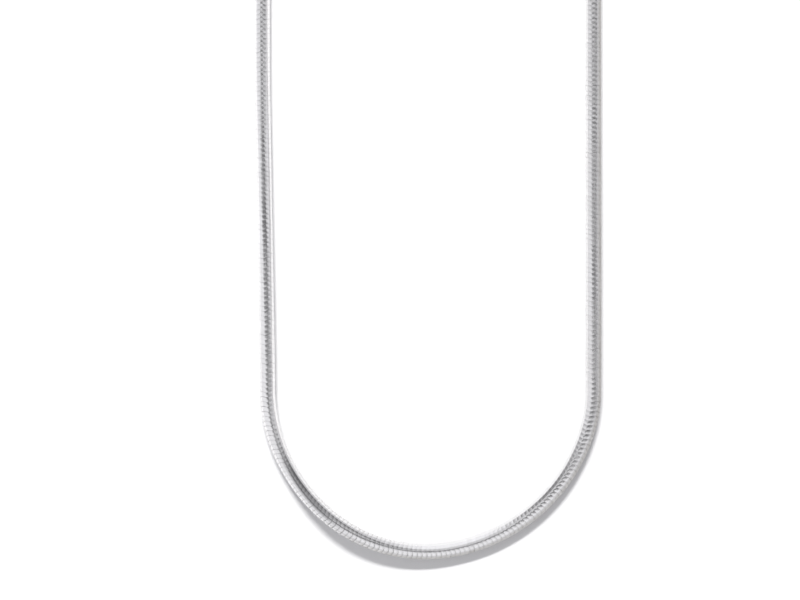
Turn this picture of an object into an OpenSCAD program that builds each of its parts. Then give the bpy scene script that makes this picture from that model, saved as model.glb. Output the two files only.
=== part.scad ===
// Round snake chain necklace, lying as one closed loop with a plain barrel clasp at the back.
// X is across the loop, Y runs from the front bend to the clasp, Z is up. Millimetres.

/* [Chain] */
// Outside diameter of the snake chain
chain_d = 3; // [1.6:0.1:4]
// Length of the closed necklace along its middle line, clasp included
loop_l = 450; // [380:5:700]
// Distance between the middle lines of the two arms where they run into the front bend
loop_w = 63.1; // [46:0.1:90]

/* [Clasp] */
// Depth of the socket in each end of the clasp
socket_depth = 4.2; // [3:0.1:7]
// Solid metal between the two sockets
clasp_core = 4.6; // [2:0.1:12]
// Wall of the clasp round its sockets
clasp_wall = 0.65; // [0.4:0.05:1.5]
// Rounding of the clasp's end rims
clasp_round = 0.4; // [0.1:0.05:0.6]
// Width of the fine groove round the middle of the clasp
groove_w = 0.5; // [0.2:0.05:1.5]
// Depth of that groove
groove_depth = 0.3; // [0.1:0.05:0.6]

/* [Fit] */
// Gap between the corners of the chain and the wall of a socket
socket_gap = 0.05; // [0.03:0.01:0.15]
// Gap between each end of the chain and the floor of its socket
end_gap = 0.1; // [0.05:0.05:0.4]

/* [Lay] */
// Straight chain between each mouth of the clasp and the start of the far bend
lead_l = 3; // [1:0.5:10]
// Length over which the chain sinks from the height of the clasp to the surface it lies on
sink_l = 18; // [8:1:40]
// Height by which the springy chain stands off the surface on the left of the front bend
spring_h = 1.4; // [0:0.1:2]
// Length over which it rises there
rise_l = 17; // [8:1:30]
// Length over which it comes down again
fall_l = 25; // [8:1:30]

/* [Hidden] */

// The tube stands for the chain's fine links: flats at the chain's radius, one flat lying down
tube_sides = 8;
tube_corner_r = chain_d / 2 / cos(180 / tube_sides);
// Spacing of the rings that the tube is swept through, in chain diameters
ring_step = 2;
clasp_facets = 96;

socket_r = tube_corner_r + socket_gap;
clasp_r = socket_r + clasp_wall;
clasp_l = clasp_core + 2 * socket_depth;

// Places along the middle line are measured from the middle of the clasp, round the left arm
chain_start = clasp_core / 2 + end_gap;
lead_end = clasp_l / 2 + lead_l;
far_r = loop_w / 2 - lead_end;
front_r = loop_w / 2;
far_bend_l = far_r * PI / 2;
front_bend_l = front_r * PI;
arm_l = (loop_l - 2 * lead_end - 2 * far_bend_l - front_bend_l) / 2;
arm_start = lead_end + far_bend_l;
arm_end = arm_start + arm_l;
far_y = arm_l + far_r;

// How the chain lies beside that plain line, going down the left arm and up the right one.
// The first column is the share of the length between the two leads.
// The second is the distance outwards from the loop, as a share of loop_w.
LAY_AT = 0;
LAY_OUT = 1;
lay = [
    [0.00, 0.0000],
    [0.10, 0.0100],
    [0.17, 0.0155],
    [0.24, 0.0170],
    [0.29, 0.0115],
    [0.35, 0.0040],
    [0.39, 0.0010],
    [0.45, 0.0008],
    [0.49, 0.0011],
    [0.54, -0.0085],
    [0.58, -0.0065],
    [0.61, -0.0015],
    [0.79, -0.0015],
    [0.90, 0.0000],
    [1.00, 0.0000]
];

// Place at which the chain stands highest off the surface, as a share of loop_l
spring_at = 0.462;

// Slope of the lay at one of its rows, level at both ends
function lay_slope(i) =
    i == 0 || i == len(lay) - 1
        ? 0
        : (lay[i + 1][LAY_OUT] - lay[i - 1][LAY_OUT]) / (lay[i + 1][LAY_AT] - lay[i - 1][LAY_AT]);

// The row that a share of the free length lies after
function lay_row(u, i = 0) = i >= len(lay) - 2 || u < lay[i + 1][LAY_AT] ? i : lay_row(u, i + 1);

// A smooth curve from one value to the next, with its slope at both
function blend(t, from, to, slope_from, slope_to) =
    from * (2 * t ^ 3 - 3 * t ^ 2 + 1)
    + slope_from * (t ^ 3 - 2 * t ^ 2 + t)
    + to * (3 * t ^ 2 - 2 * t ^ 3)
    + slope_to * (t ^ 3 - t ^ 2);

function lay_between(u, i) =
    let (span = lay[i + 1][LAY_AT] - lay[i][LAY_AT])
    blend(
        (u - lay[i][LAY_AT]) / span,
        lay[i][LAY_OUT],
        lay[i + 1][LAY_OUT],
        lay_slope(i) * span,
        lay_slope(i + 1) * span
    );

// Distance outwards from the plain line at a place along it
function lay_out(s) =
    let (u = (s - lead_end) / (loop_l - 2 * lead_end))
    u <= 0 || u >= 1 ? 0 : loop_w * lay_between(u, lay_row(u));

// Point of the plain line's left half, with the heading outwards from the loop
function left_point(s) =
    s <= lead_end ? [-s, far_y, 90]
    : s <= arm_start ?
        let (a = 90 + (s - lead_end) / far_bend_l * 90)
        [-lead_end + far_r * cos(a), arm_l + far_r * sin(a), a]
    : s <= arm_end ? [-front_r, arm_end - s, 180]
    : let (a = 180 + (s - arm_end) / front_bend_l * 180)
        [front_r * cos(a), front_r * sin(a), a];

function mirrored(p) = [-p[0], p[1], 180 - p[2]];

function plain_point(s) = s <= loop_l / 2 ? left_point(s) : mirrored(left_point(loop_l - s));

// How far the chain stands off the surface at a place on the front bend
function spring(s) =
    let (
        past = s - spring_at * loop_l,
        t = past < 0 ? 1 + past / rise_l : 1 - past / fall_l
    )
    blend(min(max(t, 0), 1), 0, spring_h, 0, 0);

// Height of the chain's middle line: the clasp's own middle, sinking to the surface
function height(s) =
    let (t = min(max((min(s, loop_l - s) - lead_end) / sink_l, 0), 1))
    blend(t, clasp_r, chain_d / 2, 0, 0) + spring(s);

function laid_point(s) =
    let (p = plain_point(s), out = lay_out(s))
    [p[0] + out * cos(p[2]), p[1] + out * sin(p[2]), height(s)];

chain_l = loop_l - 2 * chain_start;
ring_count = 2 * ceil(chain_l / (2 * ring_step * chain_d));
route = [for (i = [0 : ring_count]) laid_point(chain_start + i * chain_l / ring_count)];

// The loop stands over the origin with the middle of its outline, clasp included
route_x = [for (p = route) p[0]];
route_y = [for (p = route) p[1]];
mid_x = (min(route_x) + max(route_x)) / 2;
mid_y = (min(route_y) - chain_d / 2 + far_y + clasp_r) / 2;

// Heading of the tube at a ring, from its neighbours
function along(i) =
    let (a = route[max(i - 1, 0)], b = route[min(i + 1, ring_count)])
    (b - a) / norm(b - a);

// One ring square to the heading, with a flat side below
function ring(i) =
    let (
        ahead = along(i),
        side = cross(ahead, [0, 0, 1]) / norm(cross(ahead, [0, 0, 1])),
        up = cross(side, ahead)
    )
    [
        for (k = [0 : tube_sides - 1])
            let (a = (k + 0.5) * 360 / tube_sides)
            route[i] + tube_corner_r * (cos(a) * side + sin(a) * up)
    ];

module chain()
{
    points = [for (i = [0 : ring_count]) each ring(i)];
    walls = [
        for (i = [0 : ring_count - 1], k = [0 : tube_sides - 1])
            let (a = i * tube_sides, n = (k + 1) % tube_sides)
            [a + k, a + n, a + tube_sides + n, a + tube_sides + k]
    ];
    near_end = [for (k = [tube_sides - 1 : -1 : 0]) k];
    far_end = [for (k = [0 : tube_sides - 1]) ring_count * tube_sides + k];

    color("silver")
        translate([-mid_x, -mid_y, 0])
            polyhedron(points = points, faces = concat([near_end], walls, [far_end]));
}

// Half outline of the clasp, beside its axis
module clasp_outline()
{
    difference()
    {
        union()
        {
            translate([0, -clasp_l / 2]) square([clasp_r - clasp_round, clasp_l]);
            translate([0, -clasp_l / 2 + clasp_round]) square([clasp_r, clasp_l - 2 * clasp_round]);
            for (end = [-1, 1])
                translate([clasp_r - clasp_round, end * (clasp_l / 2 - clasp_round)])
                    circle(r = clasp_round, $fn = clasp_facets);
        }
        for (end = [-1, 1])
            translate([0, end * (clasp_core + clasp_l) / 2]) square([2 * socket_r, clasp_l], center = true);
        translate([clasp_r, 0]) square([2 * groove_depth, groove_w], center = true);
    }
}

module clasp()
{
    color("gainsboro")
        translate([-mid_x, far_y - mid_y, clasp_r])
            rotate([0, 90, 0])
                rotate_extrude($fn = clasp_facets) clasp_outline();
}

chain();
clasp();
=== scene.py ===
"""Round snake chain necklace, lying as a closed loop on a white surface, seen from straight above.

The chain is several hundred bent silver bands, each nested in the next and strung along the
middle line of the loop. A plain barrel clasp holds both of its ends. Lengths are in metres.
"""

import logging
import math
from dataclasses import dataclass, field
from enum import Enum
from typing import Optional, Union

import bmesh
import bpy
from mathutils import Matrix, Vector, noise


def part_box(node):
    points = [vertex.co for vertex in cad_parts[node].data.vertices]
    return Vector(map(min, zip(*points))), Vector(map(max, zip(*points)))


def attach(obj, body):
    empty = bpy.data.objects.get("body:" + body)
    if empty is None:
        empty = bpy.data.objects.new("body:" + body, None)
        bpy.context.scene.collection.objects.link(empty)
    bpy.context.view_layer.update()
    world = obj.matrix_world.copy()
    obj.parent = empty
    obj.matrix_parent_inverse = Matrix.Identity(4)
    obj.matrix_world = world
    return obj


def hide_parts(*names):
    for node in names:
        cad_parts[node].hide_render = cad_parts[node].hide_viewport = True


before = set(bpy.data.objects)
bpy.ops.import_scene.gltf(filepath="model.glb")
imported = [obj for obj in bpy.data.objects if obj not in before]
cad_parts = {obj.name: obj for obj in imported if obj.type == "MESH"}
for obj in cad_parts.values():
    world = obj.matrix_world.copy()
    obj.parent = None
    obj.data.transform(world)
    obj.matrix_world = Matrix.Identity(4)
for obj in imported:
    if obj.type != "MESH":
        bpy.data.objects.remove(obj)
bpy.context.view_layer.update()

MM = 0.001
# Two points that are closer than this count as one
NEAR = 0.001 * MM
UP = Vector((0.0, 0.0, 1.0))

# A socket of a node, or a plain value to write on one
Source = Union[bpy.types.NodeSocket, float, tuple[float, ...]]

logging.basicConfig(level=logging.INFO, format="%(name)s: %(message)s")
log = logging.getLogger("snake_chain")


class Half(Enum):
    """The two runs of the chain, each from a socket of the clasp to the middle of the front bend."""

    LEFT = "left"
    RIGHT = "right"


class NoiseLayer(Enum):
    """The layers of the noise that the small differences of the bands are read from."""

    TWIST = 0.0
    TILT = 1.0
    TONE = 3.0


@dataclass(frozen=True)
class LayRow:
    """How far the chain lies beside its plain line at one place.

    Args:
        share: The place, as a share of the chain's length between its two straight leads.
        out: The distance outwards from the loop, as a share of the loop's width.
    """

    share: float
    out: float


@dataclass(frozen=True)
class PlaceRow:
    """A value that changes smoothly along the chain, at one place.

    Args:
        share: The place, as a share of the loop's length.
        value: The value there.
    """

    share: float
    value: float


@dataclass(frozen=True)
class ClaspPlace:
    """Where the clasp lies, read from the frame.

    Args:
        middle: The clasp's middle.
        length: Its length along X.
        diameter: Its outside diameter.
    """

    middle: Vector
    length: float
    diameter: float

    @classmethod
    def from_frame(cls) -> "ClaspPlace":
        """Returns the place that the clasp's node has in the frame."""
        low, high = (Vector(corner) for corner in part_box("clasp"))
        return cls(middle=(low + high) / 2, length=high.x - low.x, diameter=high.z - low.z)


@dataclass(frozen=True)
class Loop:
    """The necklace's middle line: the front bend, two arms, the far bend and the clasp between.

    Places along it are lengths measured from the middle of the clasp, round the left arm.

    Args:
        clasp: Where the clasp lies.
        chain_d: Outside diameter of the chain.
        length: Length of the closed necklace along its middle line, clasp included.
        width: Distance between the middle lines of the two arms.
        clasp_core: Solid metal between the two sockets of the clasp.
        end_gap: Gap between each end of the chain and the floor of its socket.
        lead: Straight chain between each mouth of the clasp and the far bend.
        sink: Length over which the chain sinks from the clasp's height to the surface.
        spring: Height by which it stands off the surface on the left of the front bend.
        spring_at: Place where it stands highest there, as a share of the length.
        rise: Length over which it rises there.
        fall: Length over which it comes down again.
        lay: How the chain lies beside the plain line.
        rolls: Angles that it is rolled by, from the top to the loop's inside, in degrees.
    """

    clasp: ClaspPlace
    chain_d: float = 3.0 * MM
    length: float = 450.0 * MM
    width: float = 63.1 * MM
    clasp_core: float = 4.6 * MM
    end_gap: float = 0.1 * MM
    lead: float = 3.0 * MM
    sink: float = 18.0 * MM
    spring: float = 1.4 * MM
    spring_at: float = 0.462
    rise: float = 17.0 * MM
    fall: float = 25.0 * MM
    lay: tuple[LayRow, ...] = (
        LayRow(0.00, 0.0000),
        LayRow(0.10, 0.0100),
        LayRow(0.17, 0.0155),
        LayRow(0.24, 0.0170),
        LayRow(0.29, 0.0115),
        LayRow(0.35, 0.0040),
        LayRow(0.39, 0.0010),
        LayRow(0.45, 0.0008),
        LayRow(0.49, 0.0011),
        LayRow(0.54, -0.0085),
        LayRow(0.58, -0.0065),
        LayRow(0.61, -0.0015),
        LayRow(0.79, -0.0015),
        LayRow(0.90, 0.0000),
        LayRow(1.00, 0.0000),
    )
    rolls: tuple[PlaceRow, ...] = (
        PlaceRow(0.00, 0.0),
        PlaceRow(0.22, -22.0),
        PlaceRow(0.30, -5.0),
        PlaceRow(0.34, 8.0),
        PlaceRow(0.395, 27.0),
        PlaceRow(0.455, 20.0),
        PlaceRow(0.49, 4.0),
        PlaceRow(0.515, 4.0),
        PlaceRow(0.57, 8.0),
        PlaceRow(0.62, 3.0),
        PlaceRow(0.78, 3.0),
        PlaceRow(1.00, 0.0),
    )

    @property
    def chain_start(self) -> float:
        """Place of the chain's first end, in its socket."""
        return self.clasp_core / 2 + self.end_gap

    @property
    def lead_end(self) -> float:
        """Place at which the straight lead out of the clasp turns into the far bend."""
        return self.clasp.length / 2 + self.lead

    @property
    def far_r(self) -> float:
        """Radius of the two quarter bends beside the clasp."""
        return self.width / 2 - self.lead_end

    @property
    def front_r(self) -> float:
        """Radius of the front bend."""
        return self.width / 2

    @property
    def far_bend(self) -> float:
        """Length of one quarter bend."""
        return self.far_r * math.pi / 2

    @property
    def front_bend(self) -> float:
        """Length of the front bend."""
        return self.front_r * math.pi

    @property
    def arm(self) -> float:
        """Length of one arm, from what the bends and leads leave."""
        return (self.length - 2 * self.lead_end - 2 * self.far_bend - self.front_bend) / 2

    @property
    def front_centre(self) -> Vector:
        """Centre of the front bend, in line with the clasp's middle, on the surface."""
        return Vector((self.clasp.middle.x, self.clasp.middle.y - self.arm - self.far_r, 0.0))

    def _slope(self, row: int) -> float:
        """Returns the slope of the lay at one of its rows, level at both ends.

        Args:
            row: The row's number.

        Returns:
            The slope, for a whole share.
        """
        if row in (0, len(self.lay) - 1):
            return 0.0
        before, after = self.lay[row - 1], self.lay[row + 1]
        return (after.out - before.out) / (after.share - before.share)

    def _lay_out(self, place: float) -> float:
        """Returns how far outwards the chain lies from the plain line.

        Args:
            place: The place along the middle line.

        Returns:
            The distance.
        """
        share = (place - self.lead_end) / (self.length - 2 * self.lead_end)
        if not 0.0 < share < 1.0:
            return 0.0
        row = max(i for i in range(len(self.lay) - 1) if share >= self.lay[i].share)
        start, end = self.lay[row], self.lay[row + 1]
        span = end.share - start.share
        slopes = self._slope(row) * span, self._slope(row + 1) * span
        return self.width * smooth_step_between((share - start.share) / span, start.out, end.out, *slopes)

    def _left_half(self, place: float) -> tuple[float, float, float]:
        """Follows the plain line round its left half.

        Args:
            place: The place along the middle line.

        Returns:
            X and Y from the front bend's centre, and the outward heading in radians.
        """
        arm_start = self.lead_end + self.far_bend
        arm_end = arm_start + self.arm
        if place <= self.lead_end:
            return -place, self.arm + self.far_r, math.pi / 2
        if place <= arm_start:
            heading = math.pi / 2 + (place - self.lead_end) / self.far_r
            return (
                -self.lead_end + self.far_r * math.cos(heading),
                self.arm + self.far_r * math.sin(heading),
                heading,
            )
        if place <= arm_end:
            return -self.front_r, arm_end - place, math.pi
        heading = math.pi + (place - arm_end) / self.front_r
        return self.front_r * math.cos(heading), self.front_r * math.sin(heading), heading

    def _spring(self, place: float) -> float:
        """Returns how far the springy chain stands off the surface, on the left of the front bend.

        Args:
            place: The place along the middle line.

        Returns:
            The height that it adds.
        """
        past = place - self.spring_at * self.length
        share = 1 + past / self.rise if past < 0 else 1 - past / self.fall
        return smooth_step_between(min(max(share, 0.0), 1.0), 0.0, self.spring, 0.0, 0.0)

    def height(self, place: float) -> float:
        """Returns the height of the middle line: the clasp's own, sinking to the surface.

        Args:
            place: The place along the middle line.

        Returns:
            The height over the surface.
        """
        away = min(place, self.length - place) - self.lead_end
        share = min(max(away / self.sink, 0.0), 1.0)
        lying = smooth_step_between(share, self.clasp.diameter / 2, self.chain_d / 2, 0.0, 0.0)
        return lying + self._spring(place)

    def roll(self, place: float) -> float:
        """Returns the angle that the chain is rolled by, from the top to the loop's inside, in radians."""
        return math.radians(value_at(self.rolls, place / self.length))

    def point(self, place: float) -> Vector:
        """Returns the point of the laid middle line at a place along it.

        Args:
            place: The place along the middle line.

        Returns:
            The point.
        """
        if place <= self.length / 2:
            x, y, heading = self._left_half(place)
        else:
            x, y, heading = self._left_half(self.length - place)
            x, heading = -x, math.pi - heading
        out = self._lay_out(place)
        offset = Vector((x + out * math.cos(heading), y + out * math.sin(heading), self.height(place)))
        return self.front_centre + offset

    def stand(self, place: float, step: float) -> Matrix:
        """Returns the axes at a place: X to the inside of the loop, Y up, Z ahead along the chain.

        Args:
            place: The place along the middle line.
            step: How far on each side the heading is measured.

        Returns:
            The 4 by 4 matrix that stands a piece there.
        """
        ahead = (self.point(place + step) - self.point(place - step)).normalized()
        inner = UP.cross(ahead).normalized()
        up = ahead.cross(inner)
        turn = Matrix((inner, up, ahead)).transposed().to_4x4()
        return Matrix.Translation(self.point(place)) @ turn


def smooth_step_between(t: float, start: float, end: float, slope_start: float, slope_end: float) -> float:
    """Runs a smooth curve from one value to the next, with its slope at both.

    Args:
        t: The share of the way, from 0 to 1.
        start: The value at its start.
        end: The value at its end.
        slope_start: The slope at its start.
        slope_end: The slope at its end.

    Returns:
        The value at that share.
    """
    return (
        start * (2 * t**3 - 3 * t**2 + 1)
        + slope_start * (t**3 - 2 * t**2 + t)
        + end * (3 * t**2 - 2 * t**3)
        + slope_end * (t**3 - t**2)
    )


def smooth_share(value: float, low: float, high: float) -> float:
    """Returns how far a value has come from low to high, from 0 to 1, with soft ends."""
    return smooth_step_between(min(max((value - low) / (high - low), 0.0), 1.0), 0.0, 1.0, 0.0, 0.0)


def value_at(rows: tuple[PlaceRow, ...], share: float) -> float:
    """Returns the value of a table of places at a share, level at its rows.

    Args:
        rows: The table, from share 0 to share 1.
        share: The share of the loop's length.

    Returns:
        The value there.
    """
    share = min(max(share, 0.0), 1.0)
    row = max(i for i in range(len(rows) - 1) if share >= rows[i].share)
    start, end = rows[row], rows[row + 1]
    part = (share - start.share) / (end.share - start.share)
    return smooth_step_between(part, start.value, end.value, 0.0, 0.0)


class Graph:
    """A node tree that is being wired up."""

    def __init__(self, tree: bpy.types.NodeTree) -> None:
        """Starts on a tree.

        Args:
            tree: The tree that the nodes go into.
        """
        self.tree = tree

    def add(self, kind: str, **settings: object) -> bpy.types.Node:
        """Adds a node.

        Args:
            kind: The node's type name.
            settings: Its own properties, by name.

        Returns:
            The new node.
        """
        node = self.tree.nodes.new(kind)
        for name, value in settings.items():
            setattr(node, name, value)
        return node

    def feed(self, target: bpy.types.NodeSocket, source: Source) -> None:
        """Links a socket to a target socket, or writes a plain value on it.

        Args:
            target: The socket that is fed.
            source: The socket or the value that feeds it.
        """
        if isinstance(source, bpy.types.NodeSocket):
            self.tree.links.new(source, target)
        else:
            target.default_value = source

    def math(
        self, operation: str, first: Source, second: Source = 0.0, clamp: bool = False
    ) -> bpy.types.NodeSocket:
        """Adds a Math node.

        Args:
            operation: What it works out.
            first: Its first input.
            second: Its second input.
            clamp: Whether the result is kept between 0 and 1.

        Returns:
            The result.
        """
        node = self.add("ShaderNodeMath", operation=operation, use_clamp=clamp)
        self.feed(node.inputs[0], first)
        self.feed(node.inputs[1], second)
        return node.outputs[0]

    def ramp(
        self, value: Source, low: float, high: float, to_low: Source = 0.0, to_high: Source = 1.0
    ) -> bpy.types.NodeSocket:
        """Maps a value smoothly from one range to another.

        Args:
            value: The value.
            low: One end of its range.
            high: The other end.
            to_low: The result at the one end and beyond it.
            to_high: The result at the other end and beyond it.

        Returns:
            The result.
        """
        node = self.add("ShaderNodeMapRange", interpolation_type="SMOOTHSTEP")
        sources = {"Value": value, "From Min": low, "From Max": high, "To Min": to_low, "To Max": to_high}
        for name, source in sources.items():
            self.feed(node.inputs[name], source)
        return node.outputs["Result"]

    def mix(self, factor: Source, first: Source, second: Source, blend: str = "MIX") -> bpy.types.NodeSocket:
        """Mixes two colours.

        Args:
            factor: How far the second one counts, from 0 to 1.
            first: The first colour.
            second: The second colour.
            blend: The way they are mixed.

        Returns:
            The mixed colour.
        """
        node = self.add("ShaderNodeMix", data_type="RGBA", blend_type=blend)
        self.feed(node.inputs["Factor"], factor)
        self.feed(node.inputs["A"], first)
        self.feed(node.inputs["B"], second)
        return node.outputs["Result"]

    def noise(self, vector: Source, scale: Source, detail: float) -> bpy.types.NodeSocket:
        """Adds a Noise Texture.

        Args:
            vector: Its coordinates.
            scale: How many lumps one unit of them holds.
            detail: How many layers of finer lumps it has.

        Returns:
            Its value, from 0 to 1.
        """
        node = self.add("ShaderNodeTexNoise")
        self.feed(node.inputs["Vector"], vector)
        self.feed(node.inputs["Scale"], scale)
        self.feed(node.inputs["Detail"], detail)
        return node.outputs["Fac"]


def new_group(
    name: str, inputs: dict[str, Optional[float]], outputs: dict[str, str]
) -> tuple[Graph, bpy.types.Node, bpy.types.Node]:
    """Starts a shader node group with named sockets.

    Args:
        name: The group's name.
        inputs: Each input's name and its default, a number or None for a vector.
        outputs: Each output's name and its socket type.

    Returns:
        The group's graph, its input node and its output node.
    """
    tree = bpy.data.node_groups.new(name, "ShaderNodeTree")
    for label, value in inputs.items():
        kind = "NodeSocketVector" if value is None else "NodeSocketFloat"
        socket = tree.interface.new_socket(label, in_out="INPUT", socket_type=kind)
        if value is not None:
            socket.default_value = value
    for label, kind in outputs.items():
        tree.interface.new_socket(label, in_out="OUTPUT", socket_type=kind)
    graph = Graph(tree)
    return graph, graph.add("NodeGroupInput"), graph.add("NodeGroupOutput")


def handling_scratches() -> bpy.types.NodeTree:
    """Builds the fine scratches that polished silver gets from wear.

    Returns:
        The group, which puts out a mask of scratches and their height.
    """
    graph, given, result = new_group(
        "handling_scratches",
        {"Vector": None, "Scale": 900.0, "Amount": 0.5},
        {"Mask": "NodeSocketFloat", "Height": "NodeSocketFloat"},
    )
    directions = ((0.6, 0.2, 0.9), (-0.8, 1.1, 0.3), (1.2, -0.4, -0.7))
    stretch = (1.0, 0.05, 0.05)
    peaks = (0.66, 0.72)
    lines: Source = 0.0
    for turn in directions:
        mapping = graph.add("ShaderNodeMapping")
        graph.feed(mapping.inputs["Vector"], given.outputs["Vector"])
        mapping.inputs["Rotation"].default_value = turn
        mapping.inputs["Scale"].default_value = stretch
        value = graph.noise(mapping.outputs["Vector"], given.outputs["Scale"], detail=1.0)
        lines = graph.math("MAXIMUM", lines, graph.ramp(value, *peaks))
    mask = graph.math("MULTIPLY", lines, given.outputs["Amount"], clamp=True)
    graph.feed(result.inputs["Mask"], mask)
    graph.feed(result.inputs["Height"], graph.math("SUBTRACT", 1.0, mask))
    return graph.tree


def handled_film() -> bpy.types.NodeTree:
    """Builds the cloudy film of handling and air on silver, in large and small patches.

    Returns:
        The group, which puts out a mask of the film.
    """
    graph, given, result = new_group(
        "handled_film",
        {"Vector": None, "Scale": 120.0, "Contrast": 0.5},
        {"Mask": "NodeSocketFloat"},
    )
    finer = 9.0
    large_share = 0.65
    middle = 0.5
    where, scale = given.outputs["Vector"], given.outputs["Scale"]
    large = graph.math("MULTIPLY", graph.noise(where, scale, detail=3.0), large_share)
    small = graph.noise(where, graph.math("MULTIPLY", scale, finer), detail=2.0)
    both = graph.math("ADD", large, graph.math("MULTIPLY", small, 1.0 - large_share))
    centred = graph.math("MULTIPLY", graph.math("SUBTRACT", both, middle), given.outputs["Contrast"])
    graph.feed(result.inputs["Mask"], graph.math("ADD", centred, middle, clamp=True))
    return graph.tree


def gap_tarnish() -> bpy.types.NodeTree:
    """Builds the darker silver where no cloth reaches, in gaps, grooves and sockets.

    Returns:
        The group, which puts out a mask of the tarnish.
    """
    graph, given, result = new_group(
        "gap_tarnish",
        {"Vector": None, "Depth": 0.0, "Start": 0.25, "Full": 0.8, "Patch Scale": 700.0},
        {"Mask": "NodeSocketFloat"},
    )
    patch_range = (0.3, 0.7)
    thinnest = 0.75
    patches = graph.noise(given.outputs["Vector"], given.outputs["Patch Scale"], detail=3.0)
    uneven = graph.ramp(patches, *patch_range, thinnest, 1.0)
    deep = graph.ramp(given.outputs["Depth"], given.outputs["Start"], given.outputs["Full"])
    graph.feed(result.inputs["Mask"], graph.math("MULTIPLY", deep, uneven, clamp=True))
    return graph.tree


class Effects:
    """The node groups that the finishes share, each built once."""

    def __init__(self) -> None:
        """Builds the groups."""
        self.scratches = handling_scratches()
        self.film = handled_film()
        self.tarnish = gap_tarnish()

    @staticmethod
    def place(graph: Graph, group: bpy.types.NodeTree, **values: Source) -> bpy.types.Node:
        """Places a group in a material.

        Args:
            graph: The material's graph.
            group: The group.
            values: Its inputs, with an underscore for a space.

        Returns:
            The group's node.
        """
        node = graph.add("ShaderNodeGroup", node_tree=group)
        for name, value in values.items():
            graph.feed(node.inputs[name.replace("_", " ")], value)
        return node


@dataclass(frozen=True)
class Silver:
    """Polished silver with fine scratches, a thin film and tarnish in its gaps.

    Args:
        name: The material's name.
        bright: Colour of the clean polished metal.
        filmed: Colour where the film is thickest.
        tarnished: Colour down in the gaps.
        roughness: Roughness of the cleanest metal.
        film_roughness: What the film adds to it.
        film_scale: How many patches of film a metre holds.
        film_contrast: How strongly they differ.
        film_range: Values of the film between which it grows rough.
        scratch_scale: How many scratches a metre holds.
        scratch_amount: How strongly they show, from 0 to 1.
        scratch_depth: Their depth.
        scratch_roughness: What a full scratch adds to the roughness.
        tarnish_roughness: What full tarnish adds to it.
        dulled_and_shaded: What the tone 0 of a band multiplies its colour by, for a duller band and for the
            painted shade on the chain's sides; the tone 1 leaves it as it is.
        dull_roughness: What the tone 0 adds to the roughness.
        painted_streak_colour: What the darkest painted dark reflection multiplies its colour by.
    """

    name: str
    bright: tuple[float, float, float] = (0.96, 0.96, 0.965)
    filmed: tuple[float, float, float] = (0.90, 0.895, 0.89)
    tarnished: tuple[float, float, float] = (0.45, 0.44, 0.435)
    roughness: float = 0.12
    film_roughness: float = 0.12
    film_scale: float = 110.0
    film_contrast: float = 1.6
    film_range: tuple[float, float] = (0.2, 0.8)
    scratch_scale: float = 3500.0
    scratch_amount: float = 0.5
    scratch_depth: float = 0.0008 * MM
    scratch_roughness: float = 0.15
    tarnish_roughness: float = 0.3
    dulled_and_shaded: tuple[float, float, float] = (0.55, 0.54, 0.52)
    dull_roughness: float = 0.34
    painted_streak_colour: tuple[float, float, float] = (0.17, 0.17, 0.175)

    def build(self, effects: Effects) -> bpy.types.Material:
        """Builds the material.

        Args:
            effects: The shared node groups.

        Returns:
            The material, which reads the attributes depth, tone and stain of its piece. A low tone also
            paints shade on the chain's sides, and the stain paints a dark reflection.
        """
        material = bpy.data.materials.new(self.name)
        material.use_nodes = True
        graph = Graph(material.node_tree)
        shader = material.node_tree.nodes["Principled BSDF"]
        where = graph.add("ShaderNodeTexCoord").outputs["Object"]
        depth = graph.add("ShaderNodeAttribute", attribute_name="depth").outputs["Fac"]
        tone_and_shade = graph.add("ShaderNodeAttribute", attribute_name="tone_and_shade").outputs["Fac"]
        painted_streak = graph.add("ShaderNodeAttribute", attribute_name="painted_streak").outputs["Fac"]

        film = effects.place(
            graph, effects.film, Vector=where, Scale=self.film_scale, Contrast=self.film_contrast
        )
        tarnish = effects.place(graph, effects.tarnish, Vector=where, Depth=depth)
        scratches = effects.place(
            graph, effects.scratches, Vector=where, Scale=self.scratch_scale, Amount=self.scratch_amount
        )

        clean = graph.mix(film.outputs["Mask"], (*self.bright, 1.0), (*self.filmed, 1.0))
        # A low tone darkens the colour, both for a duller band and as painted shade on the chain's sides
        # towards +X and -Y
        shade = graph.mix(tone_and_shade, (*self.dulled_and_shaded, 1.0), (1.0, 1.0, 1.0, 1.0))
        toned = graph.mix(1.0, clean, shade, blend="MULTIPLY")
        # Painted dark reflection across the top of the chain, on the left of the front bend
        toned = graph.mix(painted_streak, toned, (*self.painted_streak_colour, 1.0), blend="MULTIPLY")
        colour = graph.mix(tarnish.outputs["Mask"], toned, (*self.tarnished, 1.0))
        graph.feed(shader.inputs["Base Color"], colour)

        filmed = self.roughness + self.film_roughness
        rough = graph.ramp(film.outputs["Mask"], *self.film_range, self.roughness, filmed)
        scratched = graph.math("MULTIPLY", scratches.outputs["Mask"], self.scratch_roughness)
        handled = graph.math("ADD", rough, graph.ramp(tone_and_shade, 1.0, 0.0, 0.0, self.dull_roughness))
        worn = graph.math("ADD", handled, scratched)
        dull = graph.math("MULTIPLY", tarnish.outputs["Mask"], self.tarnish_roughness)
        graph.feed(shader.inputs["Roughness"], graph.math("ADD", worn, dull, clamp=True))

        bump = graph.add("ShaderNodeBump")
        bump.inputs["Strength"].default_value = 1.0
        bump.inputs["Distance"].default_value = self.scratch_depth
        graph.feed(bump.inputs["Height"], scratches.outputs["Height"])
        graph.feed(shader.inputs["Normal"], bump.outputs["Normal"])
        shader.inputs["Metallic"].default_value = 1.0
        return material


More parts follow.
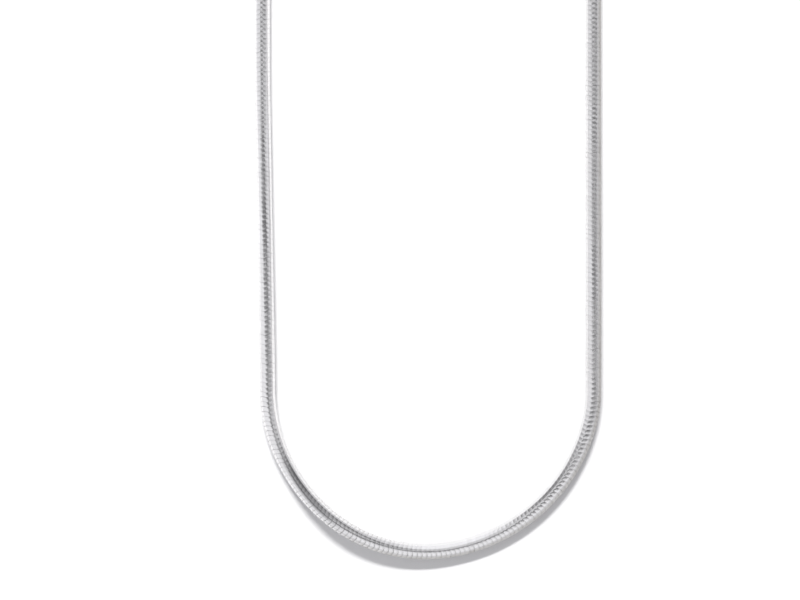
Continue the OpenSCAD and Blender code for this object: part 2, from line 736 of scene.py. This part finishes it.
@dataclass(frozen=True)
class WhiteSurface:
    """Smooth white board with a faint tooth.

    Args:
        name: The material's name.
        light: Its colour in the lighter patches.
        shade: Its colour in the darker patches.
        patch_scale: How many patches a metre holds.
        tooth_scale: How many grains a metre holds.
        tooth_depth: Their depth.
        tooth_strength: How strongly they show.
        roughness: Its roughness.
        specular: How strongly it shines.
    """

    name: str = "white_board"
    light: tuple[float, float, float] = (0.685, 0.685, 0.69)
    shade: tuple[float, float, float] = (0.67, 0.67, 0.675)
    patch_scale: float = 60.0
    tooth_scale: float = 2500.0
    tooth_depth: float = 0.01 * MM
    tooth_strength: float = 0.2
    roughness: float = 0.7
    specular: float = 0.2

    def build(self) -> bpy.types.Material:
        """Builds the material.

        Returns:
            The material.
        """
        material = bpy.data.materials.new(self.name)
        material.use_nodes = True
        graph = Graph(material.node_tree)
        shader = material.node_tree.nodes["Principled BSDF"]
        where = graph.add("ShaderNodeTexCoord").outputs["Object"]
        patches = graph.noise(where, self.patch_scale, detail=4.0)
        graph.feed(shader.inputs["Base Color"], graph.mix(patches, (*self.light, 1.0), (*self.shade, 1.0)))
        bump = graph.add("ShaderNodeBump")
        bump.inputs["Strength"].default_value = self.tooth_strength
        bump.inputs["Distance"].default_value = self.tooth_depth
        graph.feed(bump.inputs["Height"], graph.noise(where, self.tooth_scale, detail=3.0))
        graph.feed(shader.inputs["Normal"], bump.outputs["Normal"])
        shader.inputs["Roughness"].default_value = self.roughness
        shader.inputs["Specular IOR Level"].default_value = self.specular
        return material


def object_from(bm: bmesh.types.BMesh, name: str, material: bpy.types.Material) -> bpy.types.Object:
    """Makes a smooth-shaded object at the origin out of a bmesh, and frees the bmesh.

    Args:
        bm: The mesh, already in place.
        name: Name of the piece.
        material: Its one material.

    Returns:
        The object, linked to the scene.
    """
    for face in bm.faces:
        face.smooth = True
    mesh = bpy.data.meshes.new(name)
    bm.to_mesh(mesh)
    bm.free()
    mesh.materials.append(material)
    piece = bpy.data.objects.new(name, mesh)
    bpy.context.scene.collection.objects.link(piece)
    return piece


def add_subdivision(piece: bpy.types.Object, levels: int) -> None:
    """Adds a subdivision surface with the same levels in the view and in the render.

    Args:
        piece: The piece.
        levels: How many times its faces are divided.
    """
    smoother = piece.modifiers.new("smoothing", "SUBSURF")
    smoother.levels = levels
    smoother.render_levels = levels


def turn_once(
    bm: bmesh.types.BMesh, corners: list[bmesh.types.BMVert], edges: list[bmesh.types.BMEdge], steps: int
) -> None:
    """Turns a line of corners once round the Z axis, closes its poles and turns its faces outwards.

    Args:
        bm: The mesh.
        corners: The corners of the line.
        edges: The edges between them.
        steps: Faces round the turn.
    """
    bmesh.ops.spin(
        bm,
        geom=corners + edges,
        cent=(0.0, 0.0, 0.0),
        axis=(0.0, 0.0, 1.0),
        angle=2 * math.pi,
        steps=steps,
        use_merge=True,
    )
    bmesh.ops.remove_doubles(bm, verts=bm.verts, dist=NEAR)
    bmesh.ops.recalc_face_normals(bm, faces=bm.faces)


def edges_round(bm: bmesh.types.BMesh, radius: float, along: float) -> list[bmesh.types.BMEdge]:
    """Finds the edges that run round the Z axis at one radius, on both sides of the middle.

    Args:
        bm: The mesh.
        radius: Their radius.
        along: Their distance from the middle, along the axis.

    Returns:
        The edges.
    """
    return [
        edge
        for edge in bm.edges
        if all(
            abs(vert.co.xy.length - radius) < NEAR and abs(abs(vert.co.z) - along) < NEAR
            for vert in edge.verts
        )
    ]


@dataclass(frozen=True)
class Corner:
    """A corner of a band's cage, in a cut through the band.

    Args:
        down: Depth below the outer corners.
        along: Distance along the chain from the band's middle.
    """

    down: float
    along: float


@dataclass(frozen=True)
class Band:
    """One band of the chain: a ring of silver, bent in waves so that it nests in the next.

    Args:
        radius: Outside radius of the chain, over its ridges.
        columns: Faces round the cage of a band.
        lobes: Waves round a band.
        wave: How far the smoothed waves reach ahead and back.
        ridge: How far its faint ridges stand over the round, and the flats between them under it.
        ridge_at: Angle of one ridge, from the top towards the inside of the loop, in degrees.
        dome: How far the middle of the cage stands over its rims.
        dome_kept: Share of it that the smoothing keeps.
        rim_crease: How firmly the rims of the band's outside keep their place.
        half_width: Distance of those rims from the band's middle.
        thickness: Thickness of the silver.
        foot: Distance of the rims of its inside from the band's middle.
    """

    radius: float
    columns: int = 16
    lobes: int = 4
    wave: float = 0.12 * MM
    ridge: float = 0.020 * MM
    ridge_at: float = 17.0
    dome: float = 0.018 * MM
    dome_kept: float = 2 / 3
    rim_crease: float = 1.0
    half_width: float = 0.446 * MM
    thickness: float = 0.32 * MM
    foot: float = 0.475 * MM

    @property
    def reach(self) -> float:
        """How far a band reaches ahead of its middle, waves included."""
        return self.wave + self.half_width

    @property
    def cage(self) -> tuple[Corner, ...]:
        """The corners of a cut through the band: the middle of its outside, its rims and its feet."""
        return (
            Corner(-self.dome, 0.0),
            Corner(0.0, self.half_width),
            Corner(self.thickness, self.foot),
            Corner(self.thickness, -self.foot),
            Corner(0.0, -self.half_width),
        )

    def _kept(self, waves: int) -> float:
        """Returns the share of a wave round the cage that its smoothing keeps."""
        return (2 + math.cos(2 * math.pi * waves / self.columns)) / 3

    def template(self) -> bmesh.types.BMesh:
        """Builds the cage of one band round the Z axis.

        Returns:
            A bmesh with the attributes depth, 0 on the outside and 1 on the inside of the band, and
            crown, 1 along the middle of the outside.
        """
        bm = bmesh.new()
        rim_radius = (self.radius - self.ridge) / self._kept(1) - self.dome * self.dome_kept
        depth = bm.verts.layers.float.new("depth")
        crown = bm.verts.layers.float.new("crown")
        ring = []
        for corner in self.cage:
            vert = bm.verts.new((rim_radius - corner.down, 0.0, corner.along))
            vert[depth] = max(corner.down, 0.0) / self.thickness
            vert[crown] = 1.0 if corner.down < 0.0 else 0.0
            ring.append(vert)
        edges = [bm.edges.new((ring[i - 1], ring[i])) for i in range(len(ring))]
        turn_once(bm, ring, edges, self.columns)
        self._firm_rims(bm, rim_radius)
        self._bend(bm)
        return bm

    def _firm_rims(self, bm: bmesh.types.BMesh, rim_radius: float) -> None:
        """Makes the two rims of the band's outside crisp edges.

        Args:
            bm: The mesh, with the band still round and straight.
            rim_radius: Radius of those rims in the cage.
        """
        crease = bm.edges.layers.float.new("crease_edge")
        for edge in edges_round(bm, rim_radius, self.half_width):
            edge[crease] = self.rim_crease
            edge.smooth = False

    def _bend(self, bm: bmesh.types.BMesh) -> None:
        """Bends the ring into its waves and raises its faint ridges.

        Args:
            bm: The mesh, with the band still round and straight.
        """
        wave = self.wave / self._kept(self.lobes)
        ridge = self.ridge / self._kept(2 * self.lobes)
        for vert in bm.verts:
            angle = math.atan2(vert.co.y, vert.co.x)
            radius = vert.co.xy.length + ridge * math.cos(2 * self.lobes * angle)
            vert.co.x = radius * math.cos(angle)
            vert.co.y = radius * math.sin(angle)
            vert.co.z -= wave * math.cos(self.lobes * angle)
        turn = Matrix.Rotation(math.radians(90.0 - self.ridge_at), 4, "Z")
        bmesh.ops.transform(bm, matrix=turn, verts=bm.verts)


@dataclass(frozen=True)
class PaintedStreak:
    """A stretch of painted dark reflection across the top of the chain.

    Args:
        rows: How dark it is along the chain, from 0 to 1.
        start: Angles from the top towards the loop's inside between which it starts, in degrees.
        end: Angles between which it ends.
    """

    rows: tuple[PlaceRow, ...]
    start: tuple[float, float]
    end: tuple[float, float]

    def at(self, share: float, turned: float) -> float:
        """Returns how dark it is at a share of the loop's length and an angle."""
        beside = smooth_share(turned, *self.start) * (1 - smooth_share(turned, *self.end))
        return value_at(self.rows, share) * beside


@dataclass
class SnakeChain:
    """The chain: its bands strung along the loop, in two pieces that meet at the front.

    Args:
        loop: The necklace's middle line.
        finish: The silver.
        pitch: Distance from one band to the next.
        clear: How far the bands stay inside the chain's round.
        tilt: How far a band leans at most, in radians.
        twist: How far the chain is twisted to and fro at most, in radians.
        twist_length: Length over which that changes.
        crimps: How much more the bands are crowned along the chain.
        clean: How clean the left arm and the right arm are, from 0 to 1.
        dulling: Shares of the loop's length between which that changes.
        spread: How far single bands differ in it.
        shaded_side: Distances from the top, in radii, between which painted shade grows on the sides towards
            +X and -Y.
        side_shading: How much painted shade those sides get on the left arm and on the right arm.
        side_shade_from: Shares of the loop's length between which that changes.
        painted_streak: The painted dark reflection across the top of the chain, on the left of the front
            bend.
        seed: Picks one of the noise's many courses, the same in every run.
        tilt_step: Step through the noise from one band's tilt to the next one's.
        tone_step: Step through it from one band's cleanness to the next one's.
        band: One band, sized for the chain.
    """

    loop: Loop
    finish: bpy.types.Material
    pitch: float = 0.923 * MM
    clear: float = 0.01 * MM
    tilt: float = math.radians(1.0)
    twist: float = math.radians(4.0)
    twist_length: float = 25.0 * MM
    crimps: tuple[PlaceRow, ...] = (
        PlaceRow(0.00, 0.0),
        PlaceRow(0.42, 0.0),
        PlaceRow(0.46, 0.004 * MM),
        PlaceRow(0.50, 0.0),
        PlaceRow(0.525, 0.0),
        PlaceRow(0.55, 0.012 * MM),
        PlaceRow(0.60, 0.014 * MM),
        PlaceRow(0.63, 0.006 * MM),
        PlaceRow(0.73, 0.014 * MM),
        PlaceRow(1.00, 0.0),
    )
    clean: tuple[float, float] = (0.95, 0.78)
    dulling: tuple[float, float] = (0.52, 0.62)
    spread: float = 0.10
    shaded_side: tuple[float, float] = (0.40, 0.80)
    side_shading: tuple[float, float] = (0.10, 0.80)
    side_shade_from: tuple[float, float] = (0.40, 0.49)
    painted_streak: PaintedStreak = PaintedStreak(
        rows=(
            PlaceRow(0.00, 0.0),
            PlaceRow(0.41, 0.0),
            PlaceRow(0.432, 0.72),
            PlaceRow(0.447, 0.72),
            PlaceRow(0.465, 0.10),
            PlaceRow(0.49, 0.0),
            PlaceRow(1.00, 0.0),
        ),
        start=(-20.0, -8.0),
        end=(10.0, 28.0),
    )
    seed: int = 7
    tilt_step: float = 0.731
    tone_step: float = 0.917
    band: Band = field(init=False)

    def __post_init__(self) -> None:
        """Sizes the band for the loop's chain."""
        self.band = Band(radius=self.loop.chain_d / 2 - self.clear)

    def places(self) -> list[float]:
        """Spaces the bands evenly along the chain.

        Returns:
            The place of each band's middle along the middle line.
        """
        first = self.loop.chain_start + self.band.reach
        run = self.loop.length - 2 * first
        count = round(run / self.pitch)
        return [first + run * i / count for i in range(count + 1)]

    def _spot(self, along: float, layer: NoiseLayer) -> Vector:
        """Returns the point at which a layer of the noise is read."""
        return Vector((along, self.seed, layer.value))

    def _turn(self, place: float, index: int) -> Matrix:
        """Rolls a band as the chain is rolled, and tilts and twists it a little.

        Args:
            place: Its place along the middle line.
            index: Its number.

        Returns:
            The turn about its own middle.
        """
        slow = noise.noise(self._spot(place / self.twist_length, NoiseLayer.TWIST))
        quick = noise.noise_vector(self._spot(index * self.tilt_step, NoiseLayer.TILT))
        return (
            Matrix.Rotation(self.twist * slow - self.loop.roll(place), 4, "Z")
            @ Matrix.Rotation(self.tilt * quick.x, 4, "X")
            @ Matrix.Rotation(self.tilt * quick.y, 4, "Y")
        )

    def _tone(self, place: float, index: int) -> float:
        """Returns how clean a band is: the left arm is cleaner, and single bands differ a little."""
        own = self.spread * noise.noise(self._spot(index * self.tone_step, NoiseLayer.TONE))
        return self._along(place, self.clean, self.dulling) + own

    def _along(self, place: float, ends: tuple[float, float], shares: tuple[float, float]) -> float:
        """Returns a value that goes from the left arm's to the right arm's between two shares."""
        return ends[0] + (ends[1] - ends[0]) * smooth_share(place / self.loop.length, *shares)

    def _streak_darkness(self, place: float, away: Vector, inner: Vector) -> float:
        """Returns how dark the painted dark reflection is at one point of the chain.

        Args:
            place: The place along the middle line.
            away: Where the surface lies from the middle line.
            inner: The direction to the inside of the loop.

        Returns:
            The darkness, from 0 to 1.
        """
        turned = math.degrees(math.atan2(away.dot(inner), away.z))
        return self.painted_streak.at(place / self.loop.length, turned)

    def _side_shade(self, place: float, away: Vector) -> float:
        """Returns the painted shade on the chain's sides towards +X and -Y, which stands in for their darker
        reflections.

        Args:
            place: The place along the middle line.
            away: Where the surface lies from the middle line, in shares of the chain's radius.

        Returns:
            What its tone loses to that painted shade.
        """
        turned = math.hypot(max(away.x, 0.0), max(-away.y, 0.0))
        most = self._along(place, self.side_shading, self.side_shade_from)
        return most * smooth_share(turned, *self.shaded_side)

    def _crimp(self, bm: bmesh.types.BMesh, verts: list[bmesh.types.BMVert], rise: float) -> None:
        """Crowns a band more, and draws it in so that its middle stands no higher.

        Args:
            bm: The mesh, with the band round the Z axis.
            verts: The band's corners.
            rise: How much more the middle of its cage stands over its rims.
        """
        crown = bm.verts.layers.float["crown"]
        middle = [vert for vert in verts if vert[crown] > 0.5]
        drawn_in = 1 - rise * self.band.dome_kept / self.band.radius
        crowned = 1 + rise / self.band.radius
        for factor, moved in ((drawn_in, verts), (crowned, middle)):
            bmesh.ops.scale(bm, vec=(factor, factor, 1.0), verts=moved)

    def _half(self, half: Half, places: list[float]) -> bpy.types.Object:
        """Builds the bands of one half of the loop as one piece.

        Args:
            half: Which half.
            places: Where its bands stand.

        Returns:
            The piece.
        """
        bm = self.band.template()
        tone_and_shade = bm.verts.layers.float.new("tone_and_shade")
        painted_streak = bm.verts.layers.float.new("painted_streak")
        source = bm.verts[:] + bm.edges[:] + bm.faces[:]
        for index, place in enumerate(places):
            copied = bmesh.ops.duplicate(bm, geom=source)["geom"]
            verts = [item for item in copied if isinstance(item, bmesh.types.BMVert)]
            self._crimp(bm, verts, value_at(self.crimps, place / self.loop.length))
            stand = self.loop.stand(place, self.pitch / 2)
            bmesh.ops.transform(bm, matrix=stand @ self._turn(place, index), verts=verts)
            middle, inner = stand.translation, stand.col[0].xyz
            band_tone = self._tone(place, index)
            for vert in verts:
                away = (vert.co - middle) / self.band.radius
                # The band's own cleanness, less the painted shade on its sides
                vert[tone_and_shade] = min(max(band_tone - self._side_shade(place, away), 0.0), 1.0)
                # Painted dark reflection across the top of the chain
                vert[painted_streak] = self._streak_darkness(place, away, inner)
        bmesh.ops.delete(bm, geom=[item for item in source if isinstance(item, bmesh.types.BMVert)])
        bm.verts.layers.float.remove(bm.verts.layers.float["crown"])
        piece = object_from(bm, f"chain_{half.value}", self.finish)
        add_subdivision(piece, 1)
        return piece

    def build(self) -> list[bpy.types.Object]:
        """Builds both halves, in place of the tube.

        Returns:
            The two pieces.
        """
        # Blender starts noise_vector from the clock unless it is given a seed
        noise.seed_set(self.seed)
        places = self.places()
        middle = self.loop.length / 2
        halves = {
            Half.LEFT: [place for place in places if place < middle],
            Half.RIGHT: [place for place in places if place >= middle],
        }
        pieces = []
        for half, stands in halves.items():
            piece = self._half(half, stands)
            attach(piece, "root")
            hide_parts("chain")
            log.info("%s: %d bands", piece.name, len(stands))
            pieces.append(piece)
        return pieces


@dataclass
class BarrelClasp:
    """The plain barrel clasp: one turned piece with rounded rims, a groove and two sockets.

    Args:
        loop: The necklace's middle line, which holds the clasp's place and size.
        finish: The silver.
        socket_depth: Depth of the socket in each end.
        wall: Thickness of the wall round the sockets.
        rim: Rounding of the two end rims.
        groove_width: Width of the fine groove round the middle.
        groove_depth: Depth of that groove.
        edge: Rounding of the other edges.
        sharp: Angle past which an edge is rounded so, in radians.
        tone_and_shade: How clean the clasp is, from 0 to 1.
        facets: Faces round it.
        bevel_steps: Faces across a rounding.
    """

    loop: Loop
    finish: bpy.types.Material
    socket_depth: float = 4.2 * MM
    wall: float = 0.65 * MM
    rim: float = 0.4 * MM
    groove_width: float = 0.5 * MM
    groove_depth: float = 0.3 * MM
    edge: float = 0.06 * MM
    sharp: float = math.radians(60.0)
    tone_and_shade: float = 0.8
    facets: int = 96
    bevel_steps: int = 3

    def _outline(self) -> list[tuple[float, float]]:
        """Draws half of a cut through the clasp.

        Returns:
            The radius of each corner and its place along the axis.
        """
        outer = self.loop.clasp.diameter / 2
        end = self.loop.clasp.length / 2
        floor = end - self.socket_depth
        inner = outer - self.wall
        half_groove = self.groove_width / 2
        bottom = outer - self.groove_depth
        right = [(bottom, half_groove), (outer, half_groove), (outer, end), (inner, end), (inner, floor)]
        left = [(radius, -along) for radius, along in reversed(right)]
        return [(0.0, -floor), *left, *right, (0.0, floor)]

    def build(self) -> bpy.types.Object:
        """Turns the clasp and rounds its edges.

        Returns:
            The piece.
        """
        bm = bmesh.new()
        line = [bm.verts.new((radius, 0.0, along)) for radius, along in self._outline()]
        edges = [bm.edges.new((line[i], line[i + 1])) for i in range(len(line) - 1)]
        turn_once(bm, line, edges, self.facets)
        rims = edges_round(bm, self.loop.clasp.diameter / 2, self.loop.clasp.length / 2)
        self._round(bm, self.rim, rims)
        self._round(bm, self.edge, self._sharp_edges(bm))
        self._mark_depth(bm)
        place = Matrix.Translation(self.loop.clasp.middle) @ Matrix.Rotation(math.pi / 2, 4, "Y")
        bmesh.ops.transform(bm, matrix=place, verts=bm.verts)
        piece = object_from(bm, "barrel_clasp", self.finish)
        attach(piece, "root")
        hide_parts("clasp")
        log.info("%s: %d faces", piece.name, len(piece.data.polygons))
        return piece

    def _sharp_edges(self, bm: bmesh.types.BMesh) -> list[bmesh.types.BMEdge]:
        """Returns the edges that are still sharp."""
        return [edge for edge in bm.edges if edge.is_manifold and edge.calc_face_angle() > self.sharp]

    def _round(self, bm: bmesh.types.BMesh, size: float, edges: list[bmesh.types.BMEdge]) -> None:
        """Rounds edges.

        Args:
            bm: The mesh.
            size: The radius.
            edges: The edges.
        """
        bmesh.ops.bevel(
            bm,
            geom=edges,
            offset=size,
            offset_type="OFFSET",
            affect="EDGES",
            segments=self.bevel_steps,
            profile=0.5,
            material=-1,
        )

    def _mark_depth(self, bm: bmesh.types.BMesh) -> None:
        """Writes the attributes: deep in the sockets and the groove, clean outside, no painted dark
        reflection.

        Args:
            bm: The mesh, with the clasp round the Z axis.
        """
        depth = bm.verts.layers.float.new("depth")
        bm.verts.layers.float.new("painted_streak")
        tone_and_shade = bm.verts.layers.float.new("tone_and_shade")
        outer = self.loop.clasp.diameter / 2
        for vert in bm.verts:
            below = (outer - vert.co.xy.length) / self.groove_depth
            in_middle = abs(vert.co.z) < self.groove_width
            in_socket = vert.co.xy.length < outer - self.wall + self.edge / 2
            vert[depth] = 1.0 if in_socket else min(below, 1.0) if in_middle else 0.0
            vert[tone_and_shade] = self.tone_and_shade


@dataclass(frozen=True)
class LightBar:
    """A softbox that faces the necklace. The silver mirrors only the tent, and not this.

    Args:
        name: Its name.
        bearing: Where it stands, in degrees from +Y towards +X.
        elevation: Its height over the surface, in degrees.
        power: Its power in watts.
        distance: How far from the centre of the front bend it stands.
        width: Its width.
        height: Its height.
        colour: Its colour.
    """

    name: str
    bearing: float
    elevation: float
    power: float
    distance: float = 1.2
    width: float = 0.40
    height: float = 0.10
    colour: tuple[float, float, float] = (1.0, 1.0, 1.0)

    def build(self, aim: Vector) -> bpy.types.Object:
        """Builds the light.

        Args:
            aim: The point that it faces.

        Returns:
            The light's object.
        """
        light = bpy.data.lights.new(self.name, "AREA")
        light.shape = "RECTANGLE"
        light.size = self.width
        light.size_y = self.height
        light.energy = self.power
        light.color = self.colour
        lamp = bpy.data.objects.new(self.name, light)
        lamp.visible_glossy = False
        towards = direction(self.bearing, self.elevation)
        lamp.location = aim + towards * self.distance
        lamp.rotation_euler = towards.to_track_quat("Z", "Y").to_euler()
        bpy.context.scene.collection.objects.link(lamp)
        return lamp


def direction(bearing: float, elevation: float) -> Vector:
    """Returns the direction of a bearing from +Y towards +X and an elevation, both in degrees."""
    turn, rise = math.radians(bearing), math.radians(elevation)
    return Vector((math.sin(turn) * math.cos(rise), math.cos(turn) * math.cos(rise), math.sin(rise)))


@dataclass(frozen=True)
class Panel:
    """A darker panel of the tent, a rounded rectangle with soft edges.

    Args:
        brightness: Its brightness.
        middle: X part of its middle line where Y is 0, and Y part of its middle.
        size: Its half width and half depth.
        lean: How far its middle line moves in X for each step in Y.
        rim: Shares of that size between which it fades into the walls.
        roundness: Power of its outline, 2 for an oval and more for a rounded rectangle.
    """

    brightness: float
    middle: tuple[float, float]
    size: tuple[float, float]
    lean: float = 0.0
    rim: tuple[float, float] = (0.70, 1.10)
    roundness: float = 4.0

    def over(self, graph: Graph, place: tuple[Source, Source], beside: Source) -> bpy.types.NodeSocket:
        """Adds the panel to what the tent has so far.

        Args:
            graph: The world's graph.
            place: The X and Y parts of the direction.
            beside: The tent's brightness so far.

        Returns:
            Its brightness with the panel.
        """
        x, y = place
        leaning = graph.math("SUBTRACT", x, graph.math("MULTIPLY", y, self.lean))
        powers = []
        for part, start, half in zip((leaning, y), self.middle, self.size):
            share = graph.math("DIVIDE", graph.math("SUBTRACT", part, start), half)
            powers.append(graph.math("POWER", graph.math("ABSOLUTE", share), self.roundness))
        away = graph.math("POWER", graph.math("ADD", *powers), 1.0 / self.roundness)
        return graph.ramp(away, *self.rim, self.brightness, beside)


@dataclass(frozen=True)
class LightTent:
    """The white tent round the necklace, with dark panels overhead, a hoop and a bright window at +Y.

    A direction is given by its X, Y and Z parts, and its distance from the zenith is the length
    of the X and Y parts together, 0 straight up and 1 level.

    Args:
        walls: Brightness of the walls.
        panels: The panels overhead, each laid over those before it.
        window: Brightness of the window.
        right: What the wall at +X adds.
        right_from: X parts between which it starts.
        back: What the wall at +Y adds beside the window.
        back_from: Y parts between which it starts.
        foot: What the lowest part of the walls at +X and -Y adds.
        foot_right: X parts between which it starts at +X.
        foot_front: Y parts between which it starts at -Y.
        foot_down: Z parts between which it starts on the way down.
        far_foot: What the lower part of the corner between -X and +Y adds.
        far_left: X parts between which that corner starts.
        far_back: Y parts between which it starts.
        far_down: Z parts between which it starts on the way down.
        hoop: Brightness of the hoop that runs round the +Y side, at -X and at +X.
        hoop_turn: X parts of the directions between which it changes.
        hoop_in: Distances from the zenith between which the hoop starts.
        hoop_out: Distances from the zenith between which it ends.
        hoop_from: Y parts between which its two ends fade in.
        window_top: Y parts between which the window starts.
        window_side: X distances from its middle line between which the window fades.
        window_lean: How far its middle line moves in X for each step in Y.
        least: Brightness that no part falls under.
        tint: Colour of the walls.
    """

    walls: float = 0.90
    panels: tuple[Panel, ...] = (
        Panel(brightness=0.42, middle=(0.50, -0.09), size=(0.46, 0.13)),
        Panel(brightness=0.15, middle=(0.05, 0.05), size=(0.50, 0.11), lean=-2.0),
    )
    window: float = 0.98
    right: float = -0.06
    right_from: tuple[float, float] = (0.3, 0.6)
    back: float = -0.20
    back_from: tuple[float, float] = (0.4, 0.7)
    foot: float = -0.25
    foot_right: tuple[float, float] = (0.5, 0.9)
    foot_front: tuple[float, float] = (-0.5, -0.9)
    foot_down: tuple[float, float] = (0.45, 0.1)
    far_foot: float = -0.50
    far_left: tuple[float, float] = (-0.3, -0.55)
    far_back: tuple[float, float] = (0.12, 0.38)
    far_down: tuple[float, float] = (0.85, 0.55)
    hoop: tuple[float, float] = (0.68, 0.20)
    hoop_turn: tuple[float, float] = (0.05, 0.45)
    hoop_in: tuple[float, float] = (0.22, 0.36)
    hoop_out: tuple[float, float] = (0.72, 0.92)
    hoop_from: tuple[float, float] = (0.08, 0.24)
    window_top: tuple[float, float] = (0.45, 0.85)
    window_side: tuple[float, float] = (0.25, 0.60)
    window_lean: float = -0.16
    least: float = 0.05
    tint: tuple[float, float, float] = (0.975, 0.97, 1.0)

    def _window_mask(self, graph: Graph, x: Source, y: Source) -> bpy.types.NodeSocket:
        """Marks the window.

        Args:
            graph: The world's graph.
            x: The X part of the direction.
            y: The Y part.

        Returns:
            1 in the window and 0 beside it.
        """
        middle = graph.math("MULTIPLY", y, self.window_lean)
        beside = graph.math("ABSOLUTE", graph.math("SUBTRACT", x, middle))
        across = graph.ramp(beside, *self.window_side, 1.0, 0.0)
        return graph.math("MULTIPLY", across, graph.ramp(y, *self.window_top))

    def _hoop_mask(self, graph: Graph, y: Source, z: Source) -> bpy.types.NodeSocket:
        """Marks the hoop.

        Args:
            graph: The world's graph.
            y: The Y part of the direction.
            z: The Z part.

        Returns:
            1 in the hoop and 0 beside it.
        """
        away = graph.math("SQRT", graph.math("SUBTRACT", 1.0, graph.math("MULTIPLY", z, z)))
        inside = graph.ramp(away, *self.hoop_out, 1.0, 0.0)
        ring = graph.math("MULTIPLY", graph.ramp(away, *self.hoop_in), inside)
        return graph.math("MULTIPLY", ring, graph.ramp(y, *self.hoop_from))

    def _added(self, graph: Graph, x: Source, y: Source, z: Source) -> list[bpy.types.NodeSocket]:
        """Returns what single parts of the walls add to the rest.

        Args:
            graph: The world's graph.
            x: The X part of the direction.
            y: The Y part.
            z: The Z part.

        Returns:
            The brightness that each of them adds.
        """
        sides = graph.math("MAXIMUM", graph.ramp(x, *self.foot_right), graph.ramp(y, *self.foot_front))
        foot = graph.math("MULTIPLY", graph.ramp(z, *self.foot_down, 0.0, self.foot), sides)
        corner = graph.math("MULTIPLY", graph.ramp(x, *self.far_left), graph.ramp(y, *self.far_back))
        far_foot = graph.math("MULTIPLY", graph.ramp(z, *self.far_down, 0.0, self.far_foot), corner)
        right = graph.ramp(x, *self.right_from, 0.0, self.right)
        back = graph.ramp(y, *self.back_from, 0.0, self.back)
        return [foot, far_foot, right, back]

    @staticmethod
    def _toward(graph: Graph, value: Source, target: Source, mask: Source) -> bpy.types.NodeSocket:
        """Returns a value moved to a target by a mask."""
        return graph.math("ADD", value, graph.math("MULTIPLY", graph.math("SUBTRACT", target, value), mask))

    def build(self) -> bpy.types.World:
        """Builds the world.

        Returns:
            The world, set on the scene.
        """
        world = bpy.data.worlds.new("light_tent")
        bpy.context.scene.world = world
        world.use_nodes = True
        graph = Graph(world.node_tree)
        background = world.node_tree.nodes["Background"]
        parts = graph.add("ShaderNodeSeparateXYZ")
        graph.feed(parts.inputs["Vector"], graph.add("ShaderNodeTexCoord").outputs["Generated"])
        x, y, z = (parts.outputs[name] for name in "XYZ")
        total: Source = self.walls
        for panel in self.panels:
            total = panel.over(graph, (x, y), total)
        hoop = graph.ramp(x, *self.hoop_turn, *self.hoop)
        total = self._toward(graph, total, hoop, self._hoop_mask(graph, y, z))
        for part in self._added(graph, x, y, z):
            total = graph.math("ADD", total, part)
        lit = self._toward(graph, total, self.window, self._window_mask(graph, x, y))
        background.inputs["Color"].default_value = (*self.tint, 1.0)
        graph.feed(background.inputs["Strength"], graph.math("MAXIMUM", lit, self.least))
        return world


@dataclass(frozen=True)
class PhotoView:
    """The photograph's view: straight down on the front half of the loop.

    Args:
        loop: The necklace's middle line.
        chain_px: Thickness of the chain in the photograph.
        centre_px: Pixel of the front bend's centre.
        frame_px: Width and height of the photograph.
        sensor: Width of the camera's sensor.
        lens: The camera's focal length.
    """

    loop: Loop
    chain_px: float = 15.5
    centre_px: tuple[float, float] = (430.9, 388.5)
    frame_px: tuple[int, int] = (800, 600)
    sensor: float = 36.0
    lens: float = 85.0

    def build(self) -> bpy.types.Object:
        """Builds the camera and makes it the scene's own.

        Returns:
            The camera's object.
        """
        pixel = self.loop.chain_d / self.chain_px
        width, height = self.frame_px
        centre = self.loop.front_centre
        aim = Vector((
            centre.x + (width / 2 - self.centre_px[0]) * pixel,
            centre.y + (self.centre_px[1] - height / 2) * pixel,
            self.loop.chain_d / 2,
        ))
        data = bpy.data.cameras.new("photo_camera")
        data.sensor_width = self.sensor
        data.lens = self.lens
        camera = bpy.data.objects.new("photo_camera", data)
        camera.location = aim + UP * (width * pixel * self.lens / self.sensor)
        bpy.context.scene.collection.objects.link(camera)
        bpy.context.scene.camera = camera
        return camera


@dataclass(frozen=True)
class Studio:
    """The white board, the lights and the camera.

    Args:
        loop: The necklace's middle line.
        board: Length of the board's sides.
        key: The main light, which casts the shadows.
        side: A weak wide light at +X.
    """

    loop: Loop
    board: float = 3.0
    key: LightBar = LightBar(
        "key_light", bearing=-9.0, elevation=48.0, power=18.0, colour=(1.0, 0.995, 0.985)
    )
    side: LightBar = LightBar("side_light", bearing=90.0, elevation=42.0, power=1.0, width=0.9, height=0.6)

    def build(self) -> None:
        """Builds the surface, the light and the view."""
        bm = bmesh.new()
        bmesh.ops.create_grid(bm, x_segments=1, y_segments=1, size=self.board / 2)
        board = object_from(bm, "white_board", WhiteSurface().build())
        self.key.build(self.loop.front_centre)
        self.side.build(self.loop.front_centre)
        LightTent().build()
        PhotoView(self.loop).build()
        colours = bpy.context.scene.view_settings
        colours.view_transform = "Standard"
        colours.look = "None"


def main() -> None:
    """Builds the necklace and its surroundings, piece by piece."""
    loop = Loop(clasp=ClaspPlace.from_frame())
    effects = Effects()
    SnakeChain(loop, Silver("chain_silver").build(effects)).build()
    BarrelClasp(loop, Silver("clasp_silver", scratch_amount=0.7).build(effects)).build()
    Studio(loop).build()


if __name__ == "__main__":
    main()
